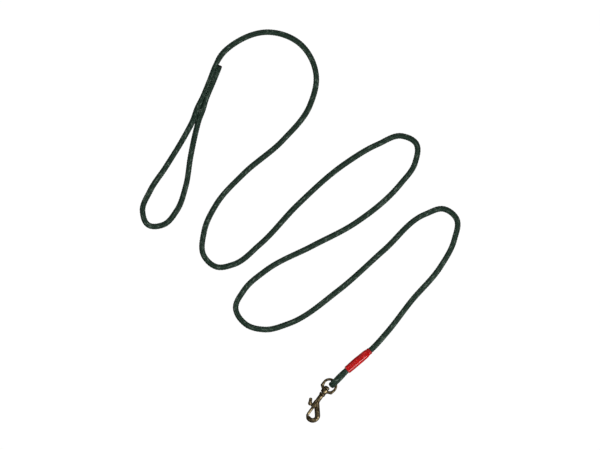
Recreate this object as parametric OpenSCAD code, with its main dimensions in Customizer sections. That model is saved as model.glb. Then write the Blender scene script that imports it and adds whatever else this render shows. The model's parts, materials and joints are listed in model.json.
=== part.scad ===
// Lead rope: a braided cord with a sewn hand loop and a swivel bolt snap.
// Millimetres, +Z up, lying on the surface z = 0. The origin is under the middle of the snap,
// and +Y runs along the snap from its hook to its swivel eye.

/* [Rope] */
// Diameter of the braided rope
rope_d = 8; // [7:0.5:9]
// Diameter of the core yarns inside the cover
core_d = 5; // [4:0.5:5.5]
// Width of a strand where the doubled rope is drawn together at the snap
doubled_w = 9.6; // [8:0.2:10]
// Thickness of a strand where the doubled rope is drawn together at the snap
doubled_t = 5.3; // [5:0.1:6]
// Width of a strand where it is sewn at the hand loop
sewn_w = 6.2; // [5.6:0.1:6.6]
// Height of a strand where it is sewn at the hand loop
sewn_t = 8.8; // [8:0.2:9.6]
// Gap between strands that are sewn together
strand_gap = 0.15; // [0.1:0.05:0.3]

/* [Stitching] */
// Thickness of the sewing thread
thread_d = 0.8; // [0.6:0.1:1]
// Number of stitches at the hand loop
handle_stitches = 15; // [8:1:20]
// Width of a stitch at the hand loop
handle_stitch_w = 5.6; // [4:0.2:7]
// Number of stitches under the sleeve
sleeve_stitches = 7; // [4:1:9]
// Width of a stitch under the sleeve
sleeve_stitch_w = 4; // [3:0.2:5]

/* [Sleeve] */
// Length of the shrink sleeve
sleeve_l = 45; // [42:1:48]
// Wall of the shrink sleeve
sleeve_wall = 0.5; // [0.4:0.1:0.7]
// Length of the sleeve's tapered end
sleeve_taper_l = 6; // [5:1:10]
// Length of the sleeve's neck on the single rope
sleeve_neck_l = 3; // [3:1:7]

/* [Swivel eye] */
// Thickness of the ring's wire
ring_wire_d = 3.4; // [3:0.1:3.8]
// Radius of the ring, to the middle of its wire
ring_r = 9.7; // [9.3:0.1:10.5]
// Diameter of the eye's boss
boss_d = 9.6; // [9:0.2:10.4]
// Height of the eye's boss
boss_l = 8; // [7.6:0.1:8.6]
// Radial play of the post in the eye
post_play = 0.75; // [0.7:0.05:0.9]
// End play of the eye between the flange and the head
end_play = 0.85; // [0.8:0.05:1]
// Lean of the eye on its loose post
eye_lean = 7; // [0:0.5:7.5]
// Place of the rope's hitch round the ring, from the barrel's line
hitch_angle = 20; // [12:1:24]

/* [Snap body] */
// Diameter of the barrel
barrel_d = 6.6; // [6.4:0.1:7.4]
// Length of the barrel from its middle to the rear flange's front
barrel_rear_l = 6; // [5.6:0.1:7]
// Diameter of the housing round the bolt
housing_d = 8; // [7.6:0.1:8.4]
// Length of the housing
housing_l = 10; // [9.6:0.1:11]
// Distance from the barrel's middle to the housing's mouth
mouth_y = 17.2; // [17:0.1:18.4]
// Diameter of the rear flange
flange_d = 8.6; // [8:0.1:9]
// Thickness of the rear flange
flange_t = 1.7; // [1.4:0.1:2]
// Diameter of the swivel post
post_d = 3.8; // [3.4:0.1:4.2]
// Diameter of the post's peened head
head_d = 8.2; // [7.6:0.1:8.6]
// Height of the post's peened head
head_h = 3; // [2.4:0.1:3.2]

/* [Hook] */
// Thickness of the hook
hook_d = 6.2; // [5.8:0.1:6.6]
// Thickness of the spine that joins the hook to the barrel
spine_d = 7.2; // [6.6:0.1:7.6]
// Thickness of the hook's tip
tip_d = 4.2; // [3.8:0.1:4.6]
// Radius of the hook's bend, to the middle of its thickness
hook_r = 7.2; // [7:0.1:8]
// Sideways distance from the barrel's line to the middle of the bend
hook_x = 7; // [6.6:0.1:7.6]
// Distance from the barrel's middle to the middle of the bend
hook_y = 27.4; // [27:0.1:28.6]
// Angle between the spine and the barrel's line
spine_angle = 40; // [38:1:42]
// Distance from the barrel's middle to the hook's tip
tip_y = 30.8; // [30.4:0.1:31.4]

/* [Bolt] */
// Diameter of the bolt
bolt_d = 4.4; // [4:0.1:4.6]
// Radial clearance of the bolt in its bore
bolt_fit = 0.05; // [0.03:0.01:0.1]
// Gap between the closed bolt and the hook's tip
bolt_gap = 0.3; // [0.3:0.1:0.6]
// Length of the bolt inside the housing when closed
bolt_inside_l = 9.6; // [9:0.2:10]
// Travel of the bolt
bolt_travel = 8; // [6:0.5:8]
// Diameter of the stud's shank
shank_d = 2.6; // [2.2:0.1:3]
// Distance from the housing's mouth to the shank
shank_y = 3.2; // [3:0.1:3.6]
// Clearance of the shank in its slot
slot_gap = 0.25; // [0.2:0.05:0.4]
// Diameter of the thumb piece
thumb_d = 4.2; // [3.8:0.1:4.6]
// Length of the thumb piece between the middles of its round ends
thumb_l = 6.2; // [5:0.2:7]
// Angle of the thumb piece to the barrel
thumb_angle = 28; // [20:1:35]
// Sideways distance from the barrel's line to the thumb piece's foot
thumb_x = 6.7; // [6.6:0.1:7.2]

/* [Spring] */
// Outer diameter of the spring
spring_d = 3.9; // [3.5:0.1:4]
// Thickness of the spring's wire
spring_wire_d = 0.5; // [0.4:0.1:0.5]
// Number of the spring's turns
spring_turns = 8; // [6:1:9]
// Length of the bore behind the closed bolt
spring_l = 12.5; // [12:0.5:12.5]

/* [Hidden] */
$fn = 48;
nip = 0.01; // overlap of solids that are one piece
rope_sides = 10;
wire_sides = 6;
turn_steps = 12; // rings of wire in each turn of the spring
bend_step = 38; // most turn between two rings of a sweep, in degrees
ring_step = 100; // most length between two rings of a sweep

green = [0.13, 0.22, 0.17];
red = [0.75, 0.08, 0.08];
old_brass = [0.42, 0.35, 0.25];
steel = [0.6, 0.6, 0.62];
undyed = [0.75, 0.74, 0.7];

// Snap: places along the barrel's line, from the barrel's middle
flange_y = barrel_rear_l;
eye_y = flange_y + flange_t + end_play;
ring_seat = 3; // distance from the boss's face to the ring's edge
ring_y = ring_seat + ring_wire_d / 2 + ring_r;
boss_edge = 1.2; // bevel round the boss, and how far the webs keep below its top
web_angle = 52; // how far round the ring the webs reach
head_y = eye_y + boss_l + end_play;
bore_end_y = -mouth_y + bolt_inside_l + spring_l;
bolt_bore_d = bolt_d + 2 * bolt_fit;
bolt_tip_y = -tip_y + bolt_gap;
stud_y = -mouth_y + shank_y;
spine_set = 2.3; // how far the spine's end stays inside the housing's length
spine_end_y = -mouth_y + housing_l - spine_set;
neck_l = 2; // length of the cones where the barrel thickens
head_rim = 1; // height of the head's straight side
foot_drop = 1; // distance from the shank to the thumb piece's foot
shank_in = 1; // how far the shank goes past the bolt's middle
spring_gap = 0.05; // free space at each end of the spring
edge = 0.4; // bevel round the bolt's tip
tip_bend = -115; // where the hook's bend ends and its tip begins
tip_x = 0.6;
tip_over = 1; // spare length of the tip, which is cut off flat
knuckle = 0.2; // extra thickness of the round joints between straight and bent bars
thumb_reach = thumb_x + thumb_l * sin(thumb_angle) + thumb_d / 2;
hook_reach = hook_x + hook_r + hook_d / 2;

// The ring's middle, and the place on its wire where the rope is hitched
eye_mid_y = eye_y + boss_l / 2;
ring_mid = [0, eye_mid_y] + (ring_y - boss_l / 2) * [sin(eye_lean), cos(eye_lean)];
hitch = ring_mid + ring_r * [sin(hitch_angle), cos(hitch_angle)];

// Heights: the rope holds the ring up, and the hook's bend lies on the surface
floor_gap = 0.1;
wire_gap = 0.45; // between the ring's wire and the rope round it
lower_z = doubled_t / 2 + floor_gap;
hitch_rise = ring_wire_d / 2 + doubled_t / 2 + wire_gap;
hitch_z = lower_z + hitch_rise;
snap_pitch = asin((hitch_z - hook_d / 2) / (hitch[1] + hook_y + hook_r));
snap_z = hitch_z - hitch[1] * sin(snap_pitch);
snap_x = -(hook_reach - thumb_reach) / 2;
snap_y = -(ring_mid[1] + ring_r + ring_wire_d / 2 - hook_y - hook_r - hook_d / 2) / 2;
hitch_at = [snap_x + hitch[0], snap_y + hitch[1] * cos(snap_pitch)];

// Sleeve: it lies on the surface, and its line starts and ends at these places from the hitch
sleeve_from = [4, 25];
sleeve_heading = atan2(45, 11);
sleeve_r = doubled_t + strand_gap / 2 + sleeve_wall;
neck_r = rope_d / 2 + sleeve_wall;
strand_rise = (doubled_t + strand_gap) / 2;

// Rope: the route's points, in mm from the hitch
doubled_run = [[1.5, 10], [4, 25], [8, 41], [11.5, 56]];
main_run = [
    [15, 70], [19, 104], [21, 164], [26, 230],
    [19, 275], [3, 302], [-19, 303], [-38, 280],
    [-56, 202], [-76, 112], [-107, 29],
    [-130, 2], [-158, -8], [-183, 2], [-189, 30],
    [-180, 74], [-146, 143], [-114, 209], [-94, 295],
    [-95, 333], [-111, 357], [-133, 354], [-156, 322],
    [-178, 271], [-199, 181], [-210, 99],
    [-224, 53], [-243, 35], [-266, 37], [-288, 67],
    [-297, 110], [-291, 170], [-273, 245], [-271, 310],
    [-291, 353], [-334, 375], [-384, 362], [-414, 322], [-421, 292]
];
sewn_run = [[-416, 277], [-410, 253], [-404, 228]];
loop_run = [
    [-403, 207], [-398, 190], [-395, 170], [-390, 110], [-388, 68], [-379, 37], [-361, 26],
    [-343, 39], [-339, 68], [-349, 104], [-370, 146], [-386, 182], [-391, 195], [-395, 210]
];

// ---- Sweeps ----

function unit(v) = v / norm(v);
function place(p) = [p[0], p[1], p[2]];
function chord(route, i) = place(route[i + 1]) - place(route[i]);

// Direction of a route at its point i: the two chords there, the shorter one weighing more
function heading(route, i) =
    i == 0 ? unit(chord(route, 0)) :
    i == len(route) - 1 ? unit(chord(route, i - 1)) :
    let (a = chord(route, i - 1), b = chord(route, i))
    unit(a * norm(b) / norm(a) + b * norm(a) / norm(b));

// A point of the smooth curve between route points i and i + 1, with the section's width and height
function curve_point(route, i, s) =
    let (
        p = place(route[i]),
        q = place(route[i + 1]),
        reach = norm(q - p),
        middle = (2 * s * s * s - 3 * s * s + 1) * p + (3 * s * s - 2 * s * s * s) * q,
        bend = (s * s * s - 2 * s * s + s) * heading(route, i)
            + (s * s * s - s * s) * heading(route, i + 1),
        at = middle + reach * bend,
        blend = 3 * s * s - 2 * s * s * s
    )
    [at[0], at[1], at[2],
        route[i][3] + blend * (route[i + 1][3] - route[i][3]),
        route[i][4] + blend * (route[i + 1][4] - route[i][4])];

function turn(a, b) = acos(max(-1, min(1, a * b)));
function steps(route, i) =
    max(
        ceil(turn(heading(route, i), heading(route, i + 1)) / bend_step),
        ceil(norm(chord(route, i)) / ring_step)
    );
function curve(route) = [
    for (i = [0:len(route) - 2], k = [0:steps(route, i) - 1])
        curve_point(route, i, k / steps(route, i)),
    route[len(route) - 1]
];

// Side direction of each ring, carried along the curve without twist
function level_side(d) = unit(cross([0, 0, 1], d));
function carried(side, d) = unit(side - (side * d) * d);
function sides_of(path) = [
    for (
        i = 0, side = level_side(heading(path, 0));
        i < len(path);
        i = i + 1, side = i < len(path) ? carried(side, heading(path, i)) : side
    ) side
];

// Rings of points round a path, each an ellipse of the path's own width and height times a share
function rings(path, count, share) =
    let (side = sides_of(path))
    [for (i = [0:len(path) - 1], k = [0:count - 1])
        let (a = 360 * (k + 0.5) / count, up = cross(side[i], heading(path, i)))
        place(path[i]) + share / 2
            * (path[i][3] * cos(a) * side[i] + path[i][4] * sin(a) * up)];

function skin(first, many, count, outward) = [
    for (i = [0:many - 2], k = [0:count - 1])
        let (
            a = first + i * count + k,
            b = first + i * count + (k + 1) % count,
            quad = [a, b, b + count, a + count]
        )
        each outward
            ? [[quad[0], quad[1], quad[2]], [quad[0], quad[2], quad[3]]]
            : [[quad[2], quad[1], quad[0]], [quad[3], quad[2], quad[0]]]
];

module swept(path, count, share = 1) {
    many = len(path);
    last = (many - 1) * count;
    polyhedron(
        points = rings(path, count, share),
        faces = concat(
            skin(0, many, count, true),
            [[for (k = [0:count - 1]) count - 1 - k]],
            [[for (k = [0:count - 1]) last + k]]
        )
    );
}

module swept_pipe(path, count, share) {
    many = len(path);
    inner = many * count;
    last = (many - 1) * count;
    ends = [
        for (k = [0:count - 1])
            let (n = (k + 1) % count)
            each [
                [k, inner + k, inner + n], [k, inner + n, n],
                [last + n, last + inner + n, last + inner + k], [last + n, last + inner + k, last + k]
            ]
    ];
    polyhedron(
        points = concat(rings(path, count, 1), rings(path, count, share)),
        faces = concat(skin(0, many, count, true), skin(inner, many, count, false), ends)
    );
}

// ---- Rope ----

sleeve_z = sleeve_r;
upper_z = sleeve_z + strand_rise;
under_z = sleeve_z - strand_rise;
top_z = hitch_z + hitch_rise;
bight_l = 7.2; // reach of the rope's nose past the ring's wire
bight_steps = 4;
bight_turn = 12; // direction of the nose, from the barrel's line
bight_heading = [sin(bight_turn), cos(bight_turn)];
spread = 0.4; // how far the strands part where the sleeve grips them less
nose_drop = 1; // how far the upper strand comes down behind the wire
seam_margin = 4; // from the ends of the doubled run to the seam under the sleeve

function plain(p) = [p[0], p[1], rope_d / 2, rope_d, rope_d];
function drawn(p, z) = [p[0], p[1], z, doubled_w, doubled_t];
function sewn(i, k) =
    let (
        d = unit(sewn_run[min(i + 1, 2)] - sewn_run[max(i - 1, 0)]),
        p = sewn_run[i] + k * (sewn_w + strand_gap) / 2 * [d[1], -d[0]]
    )
    [p[0], p[1], sewn_t / 2, sewn_w, sewn_t];

upper_strand = [
    drawn(doubled_run[3], upper_z), drawn(doubled_run[2], upper_z),
    drawn(doubled_run[1], upper_z + spread), drawn(doubled_run[0], top_z - nose_drop)
];
bight = [
    for (k = [0:2 * bight_steps])
        let (a = 90 + 90 * k / bight_steps)
        drawn(bight_l * cos(a) * bight_heading, hitch_z + hitch_rise * sin(a))
];
under_strand = [
    drawn(doubled_run[0], lower_z), drawn(doubled_run[1], under_z),
    drawn(doubled_run[2], under_z), drawn(doubled_run[3], under_z + spread)
];
sleeve_exit = [main_run[0][0], main_run[0][1], sleeve_z, rope_d, rope_d];
route = concat(
    upper_strand, bight, under_strand, [sleeve_exit],
    [for (i = [1:len(main_run) - 1]) plain(main_run[i])],
    [for (i = [0:2]) sewn(i, 1)],
    [for (p = loop_run) plain(p)],
    [for (i = [2:-1:0]) sewn(i, -1)]
);
rope_path = curve(route);

module at_hitch() {
    translate([hitch_at[0], hitch_at[1], 0]) children();
}

module rope_cover() {
    color(green) at_hitch() swept_pipe(rope_path, rope_sides, core_d / rope_d);
}

module rope_core() {
    color(undyed) at_hitch() swept(rope_path, rope_sides, core_d / rope_d);
}

// A closed loop of thread through two strands, flat across the line that it sews
module stitch(w, h) {
    rotate([90, 0, 0])
        translate([0, 0, -thread_d / 2])
            linear_extrude(thread_d)
                difference() {
                    square([w, h], center = true);
                    square([w - 2 * thread_d, h - 2 * thread_d], center = true);
                }
}

module stitch_row(from, to, many, z, w, h) {
    turn_z = atan2(from[0] - to[0], to[1] - from[1]);
    for (k = [0:many - 1]) {
        p = from + (k + 0.5) / many * (to - from);
        translate([p[0], p[1], z]) rotate([0, 0, turn_z]) stitch(w, h);
    }
}

module handle_stitching() {
    z = sewn_t / 2;
    h = sewn_t + thread_d;
    color(green) at_hitch() translate([0, 0, thread_d / 2]) {
        stitch_row(sewn_run[0], sewn_run[1], floor(handle_stitches / 2), z, handle_stitch_w, h);
        stitch_row(sewn_run[1], sewn_run[2], ceil(handle_stitches / 2), z, handle_stitch_w, h);
    }
}

module clip_end_stitching() {
    h = 2 * sleeve_r - 2 * sleeve_wall;
    inset = seam_margin * unit(doubled_run[3] - doubled_run[1]);
    color(undyed) at_hitch()
        stitch_row(doubled_run[1] + inset, doubled_run[3] - inset, sleeve_stitches, sleeve_z,
            sleeve_stitch_w, h);
}

module shrink_sleeve() {
    full_l = sleeve_l - sleeve_taper_l - sleeve_neck_l;
    color(red) at_hitch()
        translate([sleeve_from[0], sleeve_from[1], sleeve_z])
            rotate([0, 90, sleeve_heading])
                rotate_extrude()
                    polygon([
                        [sleeve_r - sleeve_wall, 0], [sleeve_r, 0], [sleeve_r, full_l],
                        [neck_r, full_l + sleeve_taper_l], [neck_r, sleeve_l],
                        [neck_r - sleeve_wall, sleeve_l],
                        [neck_r - sleeve_wall, full_l + sleeve_taper_l],
                        [sleeve_r - sleeve_wall, full_l]
                    ]);
}

// ---- Snap ----

// The snap's own frame: its barrel's middle on the Y axis, set down with the hook on the surface
module in_snap() {
    translate([snap_x, snap_y, snap_z]) rotate([snap_pitch, 0, 0]) children();
}

// A solid of revolution about the Y axis, from points of radius and place along it
module turned(points) {
    rotate([-90, 0, 0]) rotate_extrude() polygon(points);
}

// A round bar in the plane of the hook, which may taper
module rod(from, to, d1, d2) {
    run = to - from;
    translate([from[0], from[1], 0])
        rotate([0, 90, atan2(run[1], run[0])])
            cylinder(d1 = d1, d2 = d2, h = norm(run));
}

module swivel_eye() {
    color(old_brass) in_snap()
        translate([0, eye_mid_y, 0]) rotate([0, 0, -eye_lean]) translate([0, -boss_l / 2, 0])
        difference() {
            union() {
                translate([0, ring_y, 0]) rotate_extrude() translate([ring_r, 0])
                    circle(d = ring_wire_d);
                turned([[0, 0], [boss_d / 2 - boss_edge, 0], [boss_d / 2, boss_edge],
                    [boss_d / 2, boss_l - boss_edge], [boss_d / 2 - boss_edge, boss_l], [0, boss_l]]);
                shoulders();
            }
            translate([0, -post_play, 0]) rotate([-90, 0, 0])
                cylinder(d = post_d + 2 * post_play, h = boss_l + 2 * post_play);
        }
}

// The webs that run from the boss out to the ring, lower than the boss under the post's head
module shoulders() {
    w = ring_r * sin(web_angle);
    y = ring_y - ring_r * cos(web_angle);
    foot_w = boss_d / 2 - boss_edge;
    translate([0, 0, -ring_wire_d / 2])
        linear_extrude(ring_wire_d)
            polygon([
                [-foot_w, boss_edge], [foot_w, boss_edge], [w, y],
                [boss_d / 2, boss_l - boss_edge], [-boss_d / 2, boss_l - boss_edge], [-w, y]
            ]);
}

module snap_body() {
    spine_dir = [sin(spine_angle), -cos(spine_angle)];
    bend_mid = [hook_x, -hook_y];
    bend_start = bend_mid + hook_r * [cos(spine_angle), sin(spine_angle)];
    spine_l = (spine_end_y - bend_start[1]) / cos(spine_angle);
    spine_end = bend_start - spine_l * spine_dir;
    bend_end = bend_mid + hook_r * [cos(tip_bend), sin(tip_bend)];
    color(old_brass) in_snap()
        difference() {
            union() {
                barrel();
                post();
                rod(bend_start, spine_end, spine_d, spine_d);
                ball(bend_start, spine_d + knuckle);
                ball(spine_end, spine_d + knuckle);
                translate([bend_mid[0], bend_mid[1], 0]) rotate([0, 0, tip_bend])
                    rotate_extrude(angle = spine_angle - tip_bend) translate([hook_r, 0]) circle(d = hook_d);
                ball(bend_end, hook_d + knuckle);
                rod(bend_end, [tip_x, -tip_y + tip_over], hook_d, tip_d);
            }
            translate([0, -mouth_y - housing_d, 0]) rotate([-90, 0, 0])
                cylinder(d = bolt_bore_d, h = bore_end_y + mouth_y + housing_d);
            translate([tip_x - hook_d, -tip_y, -hook_d]) cube([2 * hook_d, tip_d, 2 * hook_d]);
            slot();
        }
}

module ball(at, d) {
    translate([at[0], at[1], 0]) sphere(d = d);
}

module barrel() {
    all_l = mouth_y + flange_y;
    translate([0, -mouth_y, 0])
        turned([
            [0, 0], [housing_d / 2, 0], [housing_d / 2, housing_l],
            [barrel_d / 2, housing_l + neck_l], [barrel_d / 2, all_l - neck_l],
            [flange_d / 2, all_l], [flange_d / 2, all_l + flange_t], [0, all_l + flange_t]
        ]);
}

// The post that the eye turns on, and its peened head
module post() {
    translate([0, flange_y + flange_t - nip, 0]) rotate([-90, 0, 0])
        cylinder(d = post_d, h = head_y - flange_y - flange_t + head_h / 2);
    translate([0, head_y, 0])
        turned([
            [0, 0], [head_d / 2, 0],
            for (a = [0:15:90]) [head_d / 2 * cos(a), head_rim + (head_h - head_rim) * sin(a)]
        ]);
}

// The slot in the barrel's side that the stud's shank runs in
module slot() {
    w = shank_d + 2 * slot_gap;
    for (y = [stud_y, stud_y + bolt_travel])
        translate([-housing_d, y, 0]) rotate([0, 90, 0]) cylinder(d = w, h = housing_d);
    translate([-housing_d, stud_y, -w / 2]) cube([housing_d, bolt_travel, w]);
}

module bolt() {
    rear_y = -mouth_y + bolt_inside_l;
    color(old_brass) in_snap()
        difference() {
            translate([0, bolt_tip_y, 0])
                turned([[0, 0], [bolt_d / 2 - edge, 0], [bolt_d / 2, edge],
                    [bolt_d / 2, rear_y - bolt_tip_y], [0, rear_y - bolt_tip_y]]);
            translate([-bolt_d, stud_y, 0]) rotate([0, 90, 0]) cylinder(d = shank_d, h = bolt_d + shank_in);
        }
}

module thumb_stud() {
    foot = [-thumb_x, stud_y - foot_drop];
    tip = foot + thumb_l * [-sin(thumb_angle), cos(thumb_angle)];
    color(old_brass) in_snap() {
        translate([-thumb_x, stud_y, 0]) rotate([0, 90, 0]) cylinder(d = shank_d, h = thumb_x + shank_in);
        hull() {
            translate([foot[0], foot[1], 0]) sphere(d = thumb_d, $fn = 32);
            translate([tip[0], tip[1], 0]) sphere(d = thumb_d, $fn = 32);
        }
    }
}

module bolt_spring() {
    coil_r = (spring_d - spring_wire_d) / 2;
    from_y = -mouth_y + bolt_inside_l + spring_wire_d / 2 + spring_gap;
    rise = spring_l - spring_wire_d - 2 * spring_gap;
    many = spring_turns * turn_steps;
    points = [
        for (k = [0:many])
            let (a = 360 * k / turn_steps)
            [coil_r * cos(a), from_y + rise * k / many, coil_r * sin(a), spring_wire_d, spring_wire_d]
    ];
    color(steel) in_snap() swept(points, wire_sides);
}

rope_cover();
rope_core();
handle_stitching();
clip_end_stitching();
shrink_sleeve();
swivel_eye();
snap_body();
bolt();
thumb_stud();
bolt_spring();
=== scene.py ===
import json
import math

import bpy
import numpy as np
from mathutils import Matrix, Vector


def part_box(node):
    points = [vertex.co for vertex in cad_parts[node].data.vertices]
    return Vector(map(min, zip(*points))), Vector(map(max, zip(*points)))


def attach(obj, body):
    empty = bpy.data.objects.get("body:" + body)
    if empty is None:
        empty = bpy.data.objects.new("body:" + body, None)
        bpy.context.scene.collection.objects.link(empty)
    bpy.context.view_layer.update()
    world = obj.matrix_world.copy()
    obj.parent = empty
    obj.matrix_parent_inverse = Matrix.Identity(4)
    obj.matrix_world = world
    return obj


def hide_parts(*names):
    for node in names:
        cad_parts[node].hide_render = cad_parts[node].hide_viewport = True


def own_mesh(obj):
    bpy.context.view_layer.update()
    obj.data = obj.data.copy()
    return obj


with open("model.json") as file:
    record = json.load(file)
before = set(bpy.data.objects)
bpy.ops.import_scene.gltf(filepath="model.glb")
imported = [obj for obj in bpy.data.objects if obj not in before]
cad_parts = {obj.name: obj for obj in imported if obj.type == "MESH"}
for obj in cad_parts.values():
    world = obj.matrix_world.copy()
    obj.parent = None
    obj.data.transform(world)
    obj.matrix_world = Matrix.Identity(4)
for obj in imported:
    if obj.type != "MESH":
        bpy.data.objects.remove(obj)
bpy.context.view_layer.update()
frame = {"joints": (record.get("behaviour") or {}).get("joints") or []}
bpy.ops.object.select_all(action="DESELECT")


# Camera: it looks straight down on the lead, which lies spread out flat, with the snap at the lower
# left of the view's right half.
view_width = 0.8889
view_middle = (-0.1769, 0.1917)
camera_height = 1.5
camera_turn = math.radians(36)

bpy.context.scene.view_settings.view_transform = "Standard"
bpy.ops.object.camera_add(location=(*view_middle, camera_height), rotation=(0, 0, camera_turn))
camera = bpy.context.object
camera.data.type = "ORTHO"
camera.data.ortho_scale = view_width
bpy.context.scene.camera = camera


# Rope: sixteen strands of dark green yarn, eight each way, braided two over and two under round a
# core. It is folded round the ring, flattened there by the fold, and comes back on itself at the
# hand loop, where both strands are squeezed upright by the seam. Its cut end is melted shut.
hitch = Vector(next(j["pos_m"] for j in frame["joints"] if j["name"] == "ring_tilt"))
sleeve_low, sleeve_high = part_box("shrink_sleeve")
sleeve_z = (sleeve_low.z + sleeve_high.z) / 2

rope_d = 0.008
doubled_w, doubled_t = 0.0096, 0.0053
gripped_w, gripped_t = 0.0084, 0.0047
folded_w, folded_t = 0.0092, 0.0047
sewn_w, sewn_t = 0.0062, 0.0088
strand_gap = 0.00015
floor_gap = 0.0001
spread = 0.0004
pressed = 0.0008
nose_drop = 0.001
bight_l = 0.0072
bight_steps = 4
bight_turn = math.radians(12)

# The route's points, in metres from the hitch round the ring
doubled_run = [(0.0015, 0.010), (0.004, 0.025), (0.008, 0.041), (0.0115, 0.056)]
main_run = [
    (0.015, 0.070), (0.019, 0.104), (0.021, 0.164), (0.026, 0.230),
    (0.019, 0.275), (0.003, 0.302), (-0.019, 0.303), (-0.038, 0.280),
    (-0.056, 0.202), (-0.076, 0.112), (-0.107, 0.029),
    (-0.130, 0.002), (-0.158, -0.008), (-0.183, 0.002), (-0.189, 0.030),
    (-0.180, 0.074), (-0.146, 0.143), (-0.114, 0.209), (-0.094, 0.295),
    (-0.095, 0.333), (-0.111, 0.357), (-0.133, 0.354), (-0.156, 0.322),
    (-0.178, 0.271), (-0.199, 0.181), (-0.210, 0.099),
    (-0.224, 0.053), (-0.243, 0.035), (-0.266, 0.037), (-0.288, 0.067),
    (-0.297, 0.110), (-0.291, 0.170), (-0.273, 0.245), (-0.271, 0.310),
    (-0.291, 0.353), (-0.334, 0.375), (-0.384, 0.362), (-0.414, 0.322), (-0.421, 0.292),
]
sewn_run = [(-0.416, 0.277), (-0.410, 0.253), (-0.404, 0.228)]
loop_run = [
    (-0.403, 0.207), (-0.398, 0.190), (-0.395, 0.170), (-0.390, 0.110), (-0.388, 0.068),
    (-0.379, 0.037), (-0.361, 0.026), (-0.343, 0.039), (-0.339, 0.068), (-0.349, 0.104),
    (-0.370, 0.146), (-0.386, 0.182), (-0.391, 0.195), (-0.395, 0.210),
]

lower_z = doubled_t / 2 + floor_gap
hitch_rise = hitch.z - lower_z
strand_rise = (doubled_t + strand_gap) / 2
upper_z, under_z = sleeve_z + strand_rise, sleeve_z - strand_rise


def plain(point):
    """A route row where the rope is single and round: its place, width and height."""
    return [*point, rope_d / 2, rope_d, rope_d]


def drawn(point, z):
    """A strand of the doubled rope between the ring and the sleeve, flattened by the fold."""
    return [*point, z, doubled_w, doubled_t]


def gripped(point, z):
    """A strand of the doubled rope inside the sleeve, which presses it smaller."""
    return [*point, z, gripped_w, gripped_t]


def sewn(index, hand):
    """A strand beside the seam of the hand loop, on one hand or the other of the sewn line."""
    along = Vector(sewn_run[min(index + 1, 2)]) - Vector(sewn_run[max(index - 1, 0)])
    along.normalize()
    across = hand * (sewn_w + strand_gap) / 2
    x, y = sewn_run[index]
    return [x + across * along.y, y - across * along.x, sewn_t / 2, sewn_w + pressed, sewn_t]


def nose(step):
    """A step of the fold round the ring, from the upper strand to the lower one."""
    angle = math.pi / 2 * (1 + step / bight_steps)
    reach = bight_l * math.cos(angle)
    point = (reach * math.sin(bight_turn), reach * math.cos(bight_turn))
    return [*point, hitch.z + hitch_rise * math.sin(angle), folded_w, folded_t]


route = [
    gripped(doubled_run[3], upper_z), gripped(doubled_run[2], upper_z),
    gripped(doubled_run[1], upper_z), drawn(doubled_run[0], hitch.z + hitch_rise - nose_drop),
    *(nose(step) for step in range(2 * bight_steps + 1)),
    drawn(doubled_run[0], lower_z), gripped(doubled_run[1], under_z),
    gripped(doubled_run[2], under_z), gripped(doubled_run[3], under_z + spread),
    [*main_run[0], sleeve_z, rope_d, rope_d],
    *(plain(point) for point in main_run[1:]),
    *(sewn(index, 1) for index in (0, 1, 2)),
    *(plain(point) for point in loop_run),
    *(sewn(index, -1) for index in (2, 1, 0)),
]


def unit(vectors):
    """The same directions with a length of one."""
    return vectors / np.linalg.norm(vectors, axis=-1, keepdims=True)


def smooth_curve(rows, step):
    """Evenly spaced rows on a smooth curve through the given ones, the first three values a place."""
    rows = np.array(rows, float)
    chords = np.diff(rows[:, :3], axis=0)
    reach = np.linalg.norm(chords, axis=1)[:, None]
    inner = chords[:-1] * reach[1:] / reach[:-1] + chords[1:] * reach[:-1] / reach[1:]
    heading = unit(np.vstack([chords[:1], inner, chords[-1:]]))
    s = np.linspace(0, 1, 200, endpoint=False)[:, None]
    blend = 3 * s**2 - 2 * s**3
    parts = []
    for i in range(len(chords)):
        even = (1 - blend) * rows[i] + blend * rows[i + 1]
        bend = (s**3 - 2 * s**2 + s) * heading[i] + (s**3 - s**2) * heading[i + 1]
        even[:, :3] += reach[i] * bend
        parts.append(even)
    fine = np.vstack([*parts, rows[-1:]])
    run = np.append(0, np.cumsum(np.linalg.norm(np.diff(fine[:, :3], axis=0), axis=1)))
    places = np.linspace(0, run[-1], round(run[-1] / step) + 1)
    return np.column_stack([np.interp(places, run, column) for column in fine.T]), places


def cross_axes(centres, closed=False):
    """The side and up directions of the section at each centre, carried along without twist."""
    if closed:
        ahead = unit(np.roll(centres, -1, axis=0) - np.roll(centres, 1, axis=0))
    else:
        ahead = unit(np.gradient(centres, axis=0))
    side = np.zeros_like(centres)
    side[0] = (0, 1, 0) if closed else unit(np.cross((0, 0, 1), ahead[0]))
    for i in range(1, len(centres)):
        side[i] = unit(side[i - 1] - side[i - 1].dot(ahead[i]) * ahead[i])
    return side, np.cross(side, ahead), ahead


def new_piece(name, points, faces):
    """A smooth-shaded mesh object."""
    mesh = bpy.data.meshes.new(name)
    mesh.from_pydata(points.tolist(), [], faces)
    mesh.shade_smooth()
    piece = bpy.data.objects.new(name, mesh)
    bpy.context.collection.objects.link(piece)
    return piece


strands_each_way = 8
pick = 0.0039
samples = 4
relief = 0.0006
proud = 0.00045
lay_l = 0.9
lay_turn = 2 * math.pi / lay_l
column_edge, strand_edge = 0.25, 0.35
column_shift = 0.25
melt_l = 0.0022
melt_rings = 5
cap_bluntness = 0.4

rows, rope_run = smooth_curve(route, pick / samples)
hitch_flat = np.array([hitch.x, hitch.y, 0])
rope_path = rows[:, :3] + hitch_flat
side, up, ahead = cross_axes(rope_path)
rope_count = strands_each_way * samples


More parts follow.
